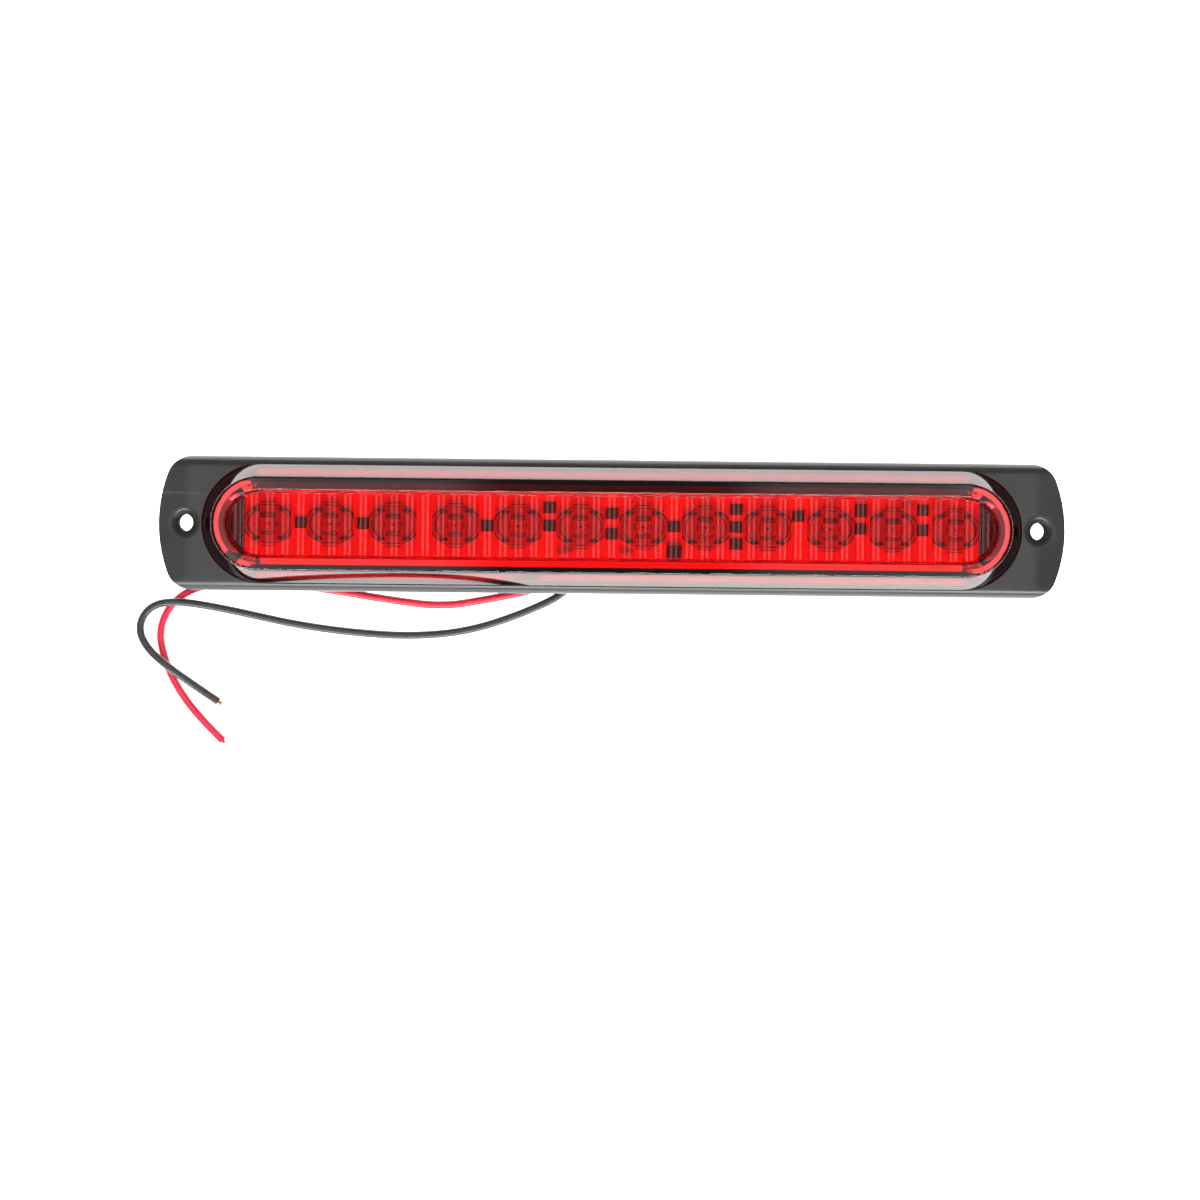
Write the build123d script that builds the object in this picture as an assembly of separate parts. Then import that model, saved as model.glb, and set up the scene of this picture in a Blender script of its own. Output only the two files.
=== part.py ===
from build123d import *
import math
import os

# High-mount (third) brake light: a shallow black base with two screw ears, a red stadium lens with a
# raised flat crown and a fluted window, and a board of twelve LEDs under clear round optics.
# Millimetres. +X runs along the length, +Y across it, +Z out of the lens.
# Origin: the middle of the back, on the surface that the lamp is mounted to.

# --- base housing ---
BASE_LENGTH = 236.3
BASE_WIDTH = 35.2
BASE_END_RADIUS = 37.0      # the shallow arc across each end
BASE_CORNER_RADIUS = 7.0
BASE_BACK = 3.0             # back face of the base, held off the surface by the pads
FLANGE_TOP = 9.5            # rim that the lens stands in
EAR_CREASE_X = 110.7        # from here outwards the ears slope down
EAR_TIP_TOP = 8.8
EAR_CREASE_BLEND = 25.0
SIDE_ROUNDING = 3.4         # the rim's long sides
SHOULDER_MARGIN = 0.3       # how near an edge lies to the rim to be one of its long edges
FLOOR_TOP = 4.6
LEDGE_TOP = 6.6             # the lens foot is glued down on this ledge
CAVITY_LENGTH = 206.0
CAVITY_WIDTH = 23.4
GROOVE_CLEARANCE = 0.2
EAR_WALL = 1.9
EAR_PLATE = 2.3
EAR_POCKET_START_X = 109.0

# --- screw holes ---
HOLE_SPACING = 223.2
HOLE_RADIUS = 2.3
SINK_RADIUS = 3.8
SINK_DEPTH = 1.5
SINK_ROUNDING = 1.4
SINK_EDGE_MARGIN = 0.8       # how far the rim's edge may wander from its radius
BOSS_RADIUS = 4.7
BOSS_OVERLAP = 0.5          # how far a boss runs into the ear above it
BOSS_BACK = 0.6             # the bosses stand out behind the base, almost as far as the pads

# --- lens ---
LENS_LENGTH = 213.5
LENS_WIDTH = 31.0
LENS_FOOT = 7.1
LENS_WALL = 2.2
CROWN_TOP = 18.0
CROWN_INSET = 3.5           # how far the sloping wall leans in, foot to crown
CROWN_ROUNDING = 0.8
RECESS_LENGTH = 198.8
RECESS_WIDTH = 17.1
RECESS_WALL = 1.7
WINDOW_TOP = 14.4
WINDOW_THICKNESS = 1.9
WINDOW_DRAFT = 7.0
HOLLOW_TOP = 15.8
RIB_PITCH = 4.045
RIB_HEIGHT = 0.43
RIBS_EACH_SIDE = 24

# --- circuit board ---
BOARD_LENGTH = 191.5
BOARD_WIDTH = 19.2
BOARD_Y = -1.0              # the board sits nearer the side that the leads leave from
BOARD_BACK = 6.8
BOARD_TOP = 8.4
BOARD_CORNER = 1.0
NOTCH_OVERRUN = 3.0         # how far the notch cutters run out past the board's edge
POST_RADIUS = 1.6
POST_X = (28.5, 81.2)
POST_Y = 7.8
CLIP_X = 92.1
CLIP_Y = 7.4
CLIP_OVERLAP = 0.3          # how far a clip's foot runs into the cavity wall
CLIP_WIDTH = 1.0
CLIP_TOP = 9.0
CLIP_GAP = 0.25

# --- light sources ---
LED_COUNT = 12
LED_PITCH = 16.24
LED_LENGTH = 3.5
LED_WIDTH = 2.8
LED_HEIGHT = 1.9
LED_CUP_RADIUS = 1.2
LED_CUP_DEPTH = 0.5
OPTIC_RADIUS = 5.9
OPTIC_RIM_INNER = 4.8
OPTIC_FOOT_RADIUS = 0.55
OPTIC_FOOT_PLACE = 5.25
OPTIC_BACK = 0.9            # heights of the optic are counted from the board
OPTIC_WEB = 1.8
OPTIC_RIM = 2.4
OPTIC_BARREL_RADIUS = 2.75
OPTIC_BARREL = 3.0
OPTIC_TOP = 3.7
OPTIC_POCKET_RADIUS = 2.4
OPTIC_POCKET_TOP = 2.2

# --- chips: size, then places as (gap number counted from the middle, Y) ---
RESISTOR_SIZE = (1.6, 3.2, 0.6)
RESISTOR_PLACES = (
    (-5, 0.4), (-4, 0.3), (-2, 0.0), (-1, 5.0), (-1, 0.2), (0, 3.6), (0, -1.8),
    (1, 0.3), (2, 5.0), (2, 0.3), (2, -4.1), (3, 3.4), (4, 0.2), (5, 5.3), (5, 0.0),
)
CAPACITOR_SIZE = (1.25, 2.0, 0.9)
CAPACITOR_PLACES = ((77.3, 6.6), (85.1, 6.6))
DIODE_SIZE = (1.6, 3.7, 1.2)
DIODE_PLACE = (65.0, 5.0)
SUPPRESSOR_SIZE = (2.6, 4.2, 2.1)
SUPPRESSOR_PLACE = (16.2, -6.6)

# --- leads ---
LEAD_DIAMETER = 2.1
LEAD_Z = 1.1                # centre of a lead that lies on the surface
CORE_RADIUS = 0.5
BLACK_CORE_BARE = 1.3
RED_CORE_BARE = 0.6
EXIT_ANGLE = 235.0          # direction in which the leads leave the gland, about +Z from +X
EXIT_REACH = 5.5            # from the origin to the gland's exit face
EXIT_HALF_GAP = 1.35
RED_STRAIGHT = 10.0         # each lead's first run, straight out of the gland
BLACK_STRAIGHT = 13.9
RUN_SHARE = 0.45            # share of the shorter run that an arc takes at a corner
INNER_LEAD_Z = 5.7
RED_SOLDER = (-12.1, -6.5)
BLACK_SOLDER = (3.6, -6.5)
LEAD_HOLE_RADIUS = 0.75
SOLDER_RADIUS = 1.3
SOLDER_HEIGHT = 1.0

# --- wire gland and mounting pads ---
GLAND_BACK = 0.2
GLAND_RADIUS = 4.6
GLAND_NOSE_WIDTH = 6.4
STEM_RADIUS = 2.95
STEM_HOLE_RADIUS = 3.0
PAD_INNER_X = 14.0
PAD_LENGTH = 80.0
PAD_WIDTH = 22.0
PAD_CORNER = 2.0

EXIT_DIRECTION = Vector(1, 0, 0).rotate(Axis.Z, EXIT_ANGLE)
EXIT_ACROSS = Vector(1, 0, 0).rotate(Axis.Z, EXIT_ANGLE + 90)
EXIT_CENTRE = EXIT_DIRECTION * EXIT_REACH + Vector(0, 0, LEAD_Z)
RED_EXIT = EXIT_CENTRE - EXIT_ACROSS * EXIT_HALF_GAP
BLACK_EXIT = EXIT_CENTRE + EXIT_ACROSS * EXIT_HALF_GAP

# Routes of the leads from the gland's exit face. The red one lies on the surface all the way. The
# black one climbs over it twice, beside the left ear and again on the way back.
RED_ROUTE = (
    tuple(RED_EXIT), tuple(RED_EXIT + EXIT_DIRECTION * RED_STRAIGHT), (-20.0, -16.8, 1.1),
    (-32.0, -19.3, 1.1), (-44.5, -21.5, 1.1), (-58.5, -19.8, 1.1), (-73.0, -17.5, 1.1),
    (-88.0, -15.4, 1.1), (-101.0, -15.2, 1.1), (-110.4, -17.3, 1.1), (-116.2, -21.6, 1.1),
    (-119.0, -28.2, 1.1), (-117.9, -35.0, 1.1), (-114.8, -42.4, 1.1), (-108.8, -50.8, 1.1),
    (-101.9, -57.4, 1.1),
)
BLACK_ROUTE = (
    tuple(BLACK_EXIT), tuple(BLACK_EXIT + EXIT_DIRECTION * BLACK_STRAIGHT), (-23.0, -23.0, 1.1),
    (-37.5, -27.9, 1.1), (-52.5, -29.4, 1.1), (-68.5, -28.5, 1.1), (-83.5, -26.5, 1.1),
    (-97.0, -23.6, 1.2), (-107.5, -21.5, 2.9), (-115.0, -20.7, 4.0), (-120.0, -21.6, 4.0),
    (-123.2, -24.8, 3.5), (-123.9, -29.0, 3.4), (-121.4, -33.4, 3.9), (-116.6, -37.6, 3.9),
    (-110.0, -42.5, 1.9), (-103.2, -47.1, 1.1),
)


def stadium(length, width, z):
    return Pos(0, 0, z) * SlotOverall(length, width)


def slab(length, width, height, x, y, z):
    """A box that stands on height z, centred on x, y."""
    return Pos(x, y, z) * Box(length, width, height, align=(Align.CENTER, Align.CENTER, Align.MIN))


def post(radius, height, x, y, z):
    return Pos(x, y, z) * Cylinder(radius, height, align=(Align.CENTER, Align.CENTER, Align.MIN))


def led_x(number):
    return (number - (LED_COUNT - 1) / 2) * LED_PITCH


def base_outline(inset=0.0):
    """Plan of the base: straight sides, shallow arcs across the ends, rounded corners."""
    half_length = BASE_LENGTH / 2
    half_width = BASE_WIDTH / 2
    arc_centre = half_length - BASE_END_RADIUS
    corner_x = arc_centre + math.sqrt(BASE_END_RADIUS**2 - half_width**2)
    right_end = ThreePointArc((corner_x, -half_width), (half_length, 0), (corner_x, half_width))
    left_end = ThreePointArc((-corner_x, half_width), (-half_length, 0), (-corner_x, -half_width))
    top_side = Line((corner_x, half_width), (-corner_x, half_width))
    bottom_side = Line((-corner_x, -half_width), (corner_x, -half_width))
    face = make_face([bottom_side, right_end, top_side, left_end])
    face = fillet(face.vertices(), BASE_CORNER_RADIUS)
    if inset:
        face = offset(face, amount=-inset, kind=Kind.INTERSECTION)
    return face


def base_shell():
    """The solid outer shape: ears that slope down beyond their crease, and widely rounded long
    sides."""
    half_length = BASE_LENGTH / 2 + 1
    tip = FLANGE_TOP - (FLANGE_TOP - EAR_TIP_TOP) * (half_length - EAR_CREASE_X) / (
        BASE_LENGTH / 2 - EAR_CREASE_X)
    side = Polyline(
        (-half_length, BASE_BACK), (half_length, BASE_BACK), (half_length, tip),
        (EAR_CREASE_X, FLANGE_TOP), (-EAR_CREASE_X, FLANGE_TOP), (-half_length, tip), close=True)
    face = make_face(side)
    creases = [v for v in face.vertices() if abs(v.Y - FLANGE_TOP) < 0.01]
    face = Plane.XZ * fillet(creases, EAR_CREASE_BLEND)
    block = extrude(face, amount=BASE_WIDTH, both=True)
    block = block & extrude(Pos(0, 0, BASE_BACK) * Rectangle(4 * half_length, BASE_WIDTH),
                            amount=FLANGE_TOP)
    shoulders = [edge for edge in block.edges()
                 if edge.center().Z > EAR_TIP_TOP - SHOULDER_MARGIN
                 and abs(edge.center().Y) > BASE_WIDTH / 2 - SHOULDER_MARGIN
                 and abs(edge.center().X) < half_length - SHOULDER_MARGIN]
    block = fillet(shoulders, SIDE_ROUNDING)
    return block & extrude(Pos(0, 0, BASE_BACK) * base_outline(), amount=FLANGE_TOP)


def ear_pockets():
    """Hollows under the ears, open at the back."""
    inside = extrude(Pos(0, 0, BASE_BACK - 1) * base_outline(EAR_WALL),
                     amount=EAR_TIP_TOP - EAR_PLATE - BASE_BACK + 1)
    pockets = []
    for side in (-1, 1):
        middle = side * (EAR_POCKET_START_X + BASE_LENGTH / 2) / 2
        cutter = slab(BASE_LENGTH / 2 - EAR_POCKET_START_X, BASE_WIDTH, 20, middle, 0, 0)
        pockets.append(inside & cutter)
    return pockets


def on_sink_rim(edge):
    """Whether an edge is where a countersink meets the top of its ear."""
    for side in (-1, 1):
        reaches = [math.hypot(point.X - side * HOLE_SPACING / 2, point.Y)
                   for point in (edge.position_at(0), edge.position_at(0.5))]
        around = all(abs(reach - SINK_RADIUS) < SINK_EDGE_MARGIN for reach in reaches)
        if around and edge.center().Z > FLANGE_TOP - SINK_DEPTH:
            return True
    return False


def sunk_shell():
    """The outer shape with its two countersunk holes, softly rounded at their rims."""
    shell = base_shell()
    for side in (-1, 1):
        shell -= Pos(side * HOLE_SPACING / 2, 0, 0) * screw_hole()
    return fillet([edge for edge in shell.edges() if on_sink_rim(edge)], SINK_ROUNDING)


def base_housing():
    base = sunk_shell()
    for pocket in ear_pockets():
        base -= pocket
    for side in (-1, 1):
        height = EAR_TIP_TOP - EAR_PLATE - BOSS_BACK + BOSS_OVERLAP
        base += post(BOSS_RADIUS, height, side * HOLE_SPACING / 2, 0, BOSS_BACK)
    groove_length = LENS_LENGTH + 2 * GROOVE_CLEARANCE
    groove_width = LENS_WIDTH + 2 * GROOVE_CLEARANCE
    base -= extrude(stadium(groove_length, groove_width, LEDGE_TOP), amount=10)
    base -= extrude(stadium(CAVITY_LENGTH, CAVITY_WIDTH, FLOOR_TOP), amount=10)
    for side in (-1, 1):
        base -= post(HOLE_RADIUS, FLANGE_TOP, side * HOLE_SPACING / 2, 0, 0)
    for x in (-POST_X[1], -POST_X[0], POST_X[0], POST_X[1]):
        for y in (-POST_Y, POST_Y):
            base += post(POST_RADIUS, BOARD_BACK - FLOOR_TOP, x, y, FLOOR_TOP)
    for x in (-CLIP_X, CLIP_X):
        for side in (-1, 1):
            base += board_clip(x, side)
    base -= post(STEM_HOLE_RADIUS, 5, 0, 0, BASE_BACK - 1)
    return base


def screw_hole():
    """The space of a countersunk hole, carried on above the ear along the cone."""
    above = 1.0
    widening = (SINK_RADIUS - HOLE_RADIUS) / SINK_DEPTH * above
    profile = Polyline(
        (0, 0), (HOLE_RADIUS, 0), (HOLE_RADIUS, FLANGE_TOP - SINK_DEPTH), (SINK_RADIUS, FLANGE_TOP),
        (SINK_RADIUS + widening, FLANGE_TOP + above), (0, FLANGE_TOP + above), close=True)
    return revolve(Plane.XZ * make_face(profile), axis=Axis.Z)


def board_clip(x, side):
    """A thin rib that grows out of the cavity wall and stands up through a notch in the board."""
    reach = BOARD_WIDTH / 2 - CLIP_Y
    blade = slab(CLIP_WIDTH, reach, CLIP_TOP - FLOOR_TOP, x, side * (CLIP_Y + reach / 2), FLOOR_TOP)
    root = CAVITY_WIDTH / 2 + CLIP_OVERLAP - CLIP_Y
    foot = slab(CLIP_WIDTH, root, LEDGE_TOP - FLOOR_TOP, x, side * (CLIP_Y + root / 2), FLOOR_TOP)
    return blade + foot


def lens_outside():
    foot = extrude(stadium(LENS_LENGTH, LENS_WIDTH, LENS_FOOT), amount=FLANGE_TOP - LENS_FOOT)
    height = CROWN_TOP - FLANGE_TOP
    lean = math.degrees(math.atan(CROWN_INSET / height))
    return foot + extrude(stadium(LENS_LENGTH, LENS_WIDTH, FLANGE_TOP), amount=height, taper=lean)


def lens_recess():
    """The pocket in the crown, down to the window, a little narrower at its bottom."""
    depth = CROWN_TOP - WINDOW_TOP
    narrowing = 2 * depth * math.tan(math.radians(WINDOW_DRAFT))
    bottom = stadium(RECESS_LENGTH - narrowing, RECESS_WIDTH - narrowing, WINDOW_TOP)
    return extrude(bottom, amount=depth, taper=-WINDOW_DRAFT)


def lens_hollow():
    """The inside of the lens: one wall thickness in from the outside, clear of the window block."""
    length = LENS_LENGTH - 2 * LENS_WALL
    width = LENS_WIDTH - 2 * LENS_WALL
    lean = math.degrees(math.atan(CROWN_INSET / (CROWN_TOP - FLANGE_TOP)))
    hollow = extrude(stadium(length, width, LENS_FOOT - 1), amount=FLANGE_TOP - LENS_FOOT + 1)
    hollow += extrude(stadium(length, width, FLANGE_TOP), amount=HOLLOW_TOP - FLANGE_TOP, taper=lean)
    block = stadium(RECESS_LENGTH + 2 * RECESS_WALL, RECESS_WIDTH + 2 * RECESS_WALL,
                    WINDOW_TOP - WINDOW_THICKNESS)
    return hollow - extrude(block, amount=10)


def window_ribs():
    """Convex flutes on the window's outer face, side by side along the length."""
    half = (RIBS_EACH_SIDE + 0.5) * RIB_PITCH
    bottom = WINDOW_TOP - 0.4
    crests = []
    for number in range(-RIBS_EACH_SIDE, RIBS_EACH_SIDE + 1):
        middle = number * RIB_PITCH
        start = (middle - RIB_PITCH / 2, WINDOW_TOP)
        end = (middle + RIB_PITCH / 2, WINDOW_TOP)
        crests.append(ThreePointArc(start, (middle, WINDOW_TOP + RIB_HEIGHT), end))
    under = Polyline((half, WINDOW_TOP), (half, bottom), (-half, bottom), (-half, WINDOW_TOP))
    face = Plane.XZ * make_face(crests + [under])
    bars = extrude(face, amount=RECESS_WIDTH, both=True)
    depth = CROWN_TOP - WINDOW_TOP
    narrowing = 2 * depth * math.tan(math.radians(WINDOW_DRAFT)) - 0.8
    return bars & extrude(
        stadium(RECESS_LENGTH - narrowing, RECESS_WIDTH - narrowing, bottom - 1), amount=5)


def lens():
    body = lens_outside() - lens_recess()
    crown_edges = [e for e in body.edges() if abs(e.center().Z - CROWN_TOP) < 0.01]
    body = fillet(crown_edges, CROWN_ROUNDING)
    return body - lens_hollow() + window_ribs()


def lens_sealant():
    outer = stadium(LENS_LENGTH - 0.2, LENS_WIDTH - 0.2, LEDGE_TOP)
    inner = stadium(LENS_LENGTH - 2 * LENS_WALL, LENS_WIDTH - 2 * LENS_WALL, LEDGE_TOP)
    return extrude(outer - inner, amount=LENS_FOOT - LEDGE_TOP)


def circuit_board():
    plan = Pos(0, BOARD_Y, BOARD_BACK) * RectangleRounded(BOARD_LENGTH, BOARD_WIDTH, BOARD_CORNER)
    board = extrude(plan, amount=BOARD_TOP - BOARD_BACK)
    notch_width = CLIP_WIDTH + 2 * CLIP_GAP
    notch_inner = CLIP_Y - CLIP_GAP
    notch_reach = BOARD_WIDTH / 2 + NOTCH_OVERRUN - notch_inner
    for x in (-CLIP_X, CLIP_X):
        for side in (-1, 1):
            board -= slab(notch_width, notch_reach, 5, x, side * (notch_inner + notch_reach / 2),
                          BOARD_BACK - 1)
    for x, y in (RED_SOLDER, BLACK_SOLDER):
        board -= post(LEAD_HOLE_RADIUS, 5, x, y, BOARD_BACK - 1)
    return board


def led(number):
    """A surface-mount LED package with a shallow round cup in its top."""
    x = led_x(number)
    package = slab(LED_LENGTH, LED_WIDTH, LED_HEIGHT, x, 0, BOARD_TOP)
    return package - post(LED_CUP_RADIUS, 1, x, 0, BOARD_TOP + LED_HEIGHT - LED_CUP_DEPTH)


def optic(number):
    """A clear disc on four feet, with a raised rim and a domed barrel over the LED."""
    rise = OPTIC_TOP - OPTIC_BARREL
    sphere = (OPTIC_BARREL_RADIUS**2 + rise**2) / (2 * rise)
    half_angle = math.asin(OPTIC_BARREL_RADIUS / sphere) / 2
    dome_start = (OPTIC_BARREL_RADIUS, OPTIC_BARREL)
    dome_middle = (sphere * math.sin(half_angle), OPTIC_TOP - sphere * (1 - math.cos(half_angle)))
    dome = ThreePointArc(dome_start, dome_middle, (0, OPTIC_TOP))
    outline = Polyline(
        (0, OPTIC_TOP), (0, OPTIC_POCKET_TOP), (OPTIC_POCKET_RADIUS, OPTIC_POCKET_TOP),
        (OPTIC_POCKET_RADIUS, OPTIC_BACK), (OPTIC_RADIUS, OPTIC_BACK), (OPTIC_RADIUS, OPTIC_RIM),
        (OPTIC_RIM_INNER, OPTIC_RIM), (OPTIC_RIM_INNER, OPTIC_WEB), (OPTIC_BARREL_RADIUS, OPTIC_WEB),
        dome_start)
    body = revolve(Plane.XZ * make_face([dome, outline]), axis=Axis.Z)
    for corner in range(4):
        angle = math.radians(45 + 90 * corner)
        x = OPTIC_FOOT_PLACE * math.cos(angle)
        y = OPTIC_FOOT_PLACE * math.sin(angle)
        body += post(OPTIC_FOOT_RADIUS, OPTIC_BACK + 0.2, x, y, 0)
    return Pos(led_x(number), 0, BOARD_TOP) * body


def chip(size, x, y):
    return slab(size[0], size[1], size[2], x, y, BOARD_TOP)


def resistors():
    return Compound([chip(RESISTOR_SIZE, gap * LED_PITCH, y) for gap, y in RESISTOR_PLACES])


def capacitors():
    return Compound([chip(CAPACITOR_SIZE, x, y) for x, y in CAPACITOR_PLACES])


def solder_joints():
    """A cone of solder on each lead's end, with the conductor through the board below it."""
    joints = []
    lead_top = INNER_LEAD_Z + LEAD_DIAMETER / 2
    for x, y in (RED_SOLDER, BLACK_SOLDER):
        cone = Cone(SOLDER_RADIUS, SOLDER_RADIUS / 2, SOLDER_HEIGHT,
                    align=(Align.CENTER, Align.CENTER, Align.MIN))
        pin = post(CORE_RADIUS, BOARD_TOP - lead_top, x, y, lead_top)
        joints.append((Pos(x, y, BOARD_TOP) * cone + pin).solid())
    return Compound(joints)


def wire_gland():
    """Rubber strain relief: a low block under the base with a nose that points along the leads, and
    a stem up through the floor to the board."""
    height = BASE_BACK - GLAND_BACK
    block = post(GLAND_RADIUS, height, 0, 0, GLAND_BACK)
    nose = slab(EXIT_REACH, GLAND_NOSE_WIDTH, height, EXIT_REACH / 2, 0, GLAND_BACK)
    block += nose.rotate(Axis.Z, EXIT_ANGLE)
    stem = post(STEM_RADIUS, BOARD_BACK - BASE_BACK, 0, 0, BASE_BACK)
    return block + stem


def corner_radii(points):
    """One arc radius for each corner of a route, as large as its two runs allow."""
    radii = []
    for before, corner, after in zip(points, points[1:], points[2:]):
        run_in = Vector(*corner) - Vector(*before)
        run_out = Vector(*after) - Vector(*corner)
        half_turn = math.radians(run_in.get_angle(run_out)) / 2
        radii.append(RUN_SHARE * min(run_in.length, run_out.length) / math.tan(half_turn))
    return radii


def lead_tube(name, points, diameter=LEAD_DIAMETER):
    """A round tube along straight runs joined by tangent arcs."""
    radii = corner_radii(points)
    path = FilletPolyline(*points, radius=radii)
    section = Plane(origin=path @ 0, z_dir=path % 0) * Circle(diameter / 2)
    tube = sweep(section, path=path)
    expected = math.pi * (diameter / 2)**2 * path.length
    print(f"{name}: length {path.length:.1f} mm, radii", " ".join(f"{r:.1f}" for r in radii))
    print(f"{name}: volume {tube.volume:.2f}, section times length {expected:.2f}")
    return tube


def bare_core(points, length):
    """The stripped copper end, straight on from the end of the lead's last run."""
    end = Vector(*points[-1])
    direction = (end - Vector(*points[-2])).normalized()
    return extrude(Plane(origin=end, z_dir=direction) * Circle(CORE_RADIUS), amount=length)


def inner_lead(name, start, middle, end):
    points = [(x, y, INNER_LEAD_Z) for x, y in (start, middle, end)]
    return lead_tube(name, points)


def mounting_pad(side):
    middle = side * (PAD_INNER_X + PAD_LENGTH / 2)
    plan = Pos(middle, 0, 0) * RectangleRounded(PAD_LENGTH, PAD_WIDTH, PAD_CORNER)
    return extrude(plan, amount=BASE_BACK)


def save(name, shape):
    shape.label = name
    export_step(shape, f"parts/{name}.step")


def main():
    os.makedirs("parts", exist_ok=True)
    save("base_housing", base_housing())
    save("lens", lens())
    save("lens_sealant", lens_sealant())
    save("circuit_board", circuit_board())
    for number in range(LED_COUNT):
        save(f"led_{number + 1:02d}", led(number))
        save(f"optic_{number + 1:02d}", optic(number))
    save("resistors", resistors())
    save("capacitors", capacitors())
    save("reverse_diode", chip(DIODE_SIZE, *DIODE_PLACE))
    save("surge_suppressor", chip(SUPPRESSOR_SIZE, *SUPPRESSOR_PLACE))
    save("solder_joints", solder_joints())
    save("inner_red_lead", inner_lead("inner_red_lead", (-2.9, -1.0), (-8.0, -2.4), RED_SOLDER))
    save("inner_black_lead", inner_lead("inner_black_lead", (0.9, -2.95), (1.6, -5.0), BLACK_SOLDER))
    save("wire_gland", wire_gland())
    save("red_lead", lead_tube("red_lead", RED_ROUTE))
    save("black_lead", lead_tube("black_lead", BLACK_ROUTE))
    save("red_lead_core", bare_core(RED_ROUTE, RED_CORE_BARE))
    save("black_lead_core", bare_core(BLACK_ROUTE, BLACK_CORE_BARE))
    save("mounting_pad_left", mounting_pad(-1))
    save("mounting_pad_right", mounting_pad(1))


main()
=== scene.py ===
import math
import random

import bmesh
import bpy
from mathutils import Matrix, Vector


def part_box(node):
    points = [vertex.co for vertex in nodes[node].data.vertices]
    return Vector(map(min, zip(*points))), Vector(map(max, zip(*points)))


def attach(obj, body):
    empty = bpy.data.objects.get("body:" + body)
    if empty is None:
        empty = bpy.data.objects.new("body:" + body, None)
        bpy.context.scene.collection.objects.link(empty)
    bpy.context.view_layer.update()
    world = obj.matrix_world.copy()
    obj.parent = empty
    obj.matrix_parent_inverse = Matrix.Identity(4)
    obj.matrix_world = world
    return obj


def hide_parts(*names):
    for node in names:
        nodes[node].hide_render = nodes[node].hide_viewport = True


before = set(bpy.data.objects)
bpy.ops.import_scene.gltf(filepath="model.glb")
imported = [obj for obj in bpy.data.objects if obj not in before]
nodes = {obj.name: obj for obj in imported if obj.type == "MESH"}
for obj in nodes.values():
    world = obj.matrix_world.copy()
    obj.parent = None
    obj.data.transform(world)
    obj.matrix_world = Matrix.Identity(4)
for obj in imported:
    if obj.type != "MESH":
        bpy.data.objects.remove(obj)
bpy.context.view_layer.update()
scene = bpy.context.scene
MM = 0.001

# ---------------------------------------------------------------- camera

CAMERA_HEIGHT = 0.7085
CAMERA_LENS = 80.5
CAMERA_TURN = 0.0106
CAMERA_SHIFT = (-0.0098, -0.0608)


def add_camera():
    data = bpy.data.cameras.new("camera")
    data.lens = CAMERA_LENS
    data.sensor_width = 36.0
    data.shift_x, data.shift_y = CAMERA_SHIFT
    data.clip_start = 0.01
    camera = bpy.data.objects.new("camera", data)
    camera.location = (0, 0, CAMERA_HEIGHT)
    camera.rotation_euler = (0, 0, CAMERA_TURN)
    scene.collection.objects.link(camera)
    scene.camera = camera


# ---------------------------------------------------------------- node materials

def new_material(name):
    material = bpy.data.materials.new(name)
    material.use_nodes = True
    return material


def shader_of(material):
    return material.node_tree.nodes["Principled BSDF"]


def set_inputs(node, **values):
    """Sets a node's inputs by name, with _ for a space."""
    for name, value in values.items():
        node.inputs[name.replace("_", " ")].default_value = value


def add_node(material, kind, **inputs):
    node = material.node_tree.nodes.new(kind)
    set_inputs(node, **inputs)
    return node


def link(material, out, into):
    material.node_tree.links.new(out, into)


def object_coordinates(material, scale=(1, 1, 1)):
    place = add_node(material, "ShaderNodeTexCoord")
    mapping = add_node(material, "ShaderNodeMapping", Scale=scale)
    link(material, place.outputs["Object"], mapping.inputs["Vector"])
    return mapping.outputs["Vector"]


def noise(material, scale, detail=4.0, stretch=(1, 1, 1), roughness=0.5):
    node = add_node(material, "ShaderNodeTexNoise", Scale=scale, Detail=detail, Roughness=roughness)
    link(material, object_coordinates(material, stretch), node.inputs["Vector"])
    return node.outputs["Fac"]


def ramp(material, source, stops):
    """A colour ramp with the given (position, colour) stops."""
    node = material.node_tree.nodes.new("ShaderNodeValToRGB")
    elements = node.color_ramp.elements
    while len(elements) < len(stops):
        elements.new(0.5)
    for element, (position, colour) in zip(elements, stops):
        element.position = position
        element.color = (*colour, 1.0)
    link(material, source, node.inputs["Fac"])
    return node.outputs["Color"]


def grey(value):
    return (value, value, value)


def bump(material, height, strength, distance):
    node = add_node(material, "ShaderNodeBump", Strength=strength, Distance=distance)
    link(material, height, node.inputs["Height"])
    link(material, node.outputs["Normal"], shader_of(material).inputs["Normal"])
    return node


def varied(name, low, high, scale, roughness, bump_distance, stretch=(1, 1, 1), **inputs):
    """A plain moulded or cast finish: two shades by noise, varied roughness and a fine bump."""
    material = new_material(name)
    shader = shader_of(material)
    source = noise(material, scale, stretch=stretch)
    link(material, ramp(material, source, [(0.3, low), (0.7, high)]), shader.inputs["Base Color"])
    spread = ramp(material, source, [(0.3, grey(roughness - 0.05)), (0.7, grey(roughness + 0.05))])
    link(material, spread, shader.inputs["Roughness"])
    bump(material, source, 0.4, bump_distance)
    set_inputs(shader, **inputs)
    return material


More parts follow.
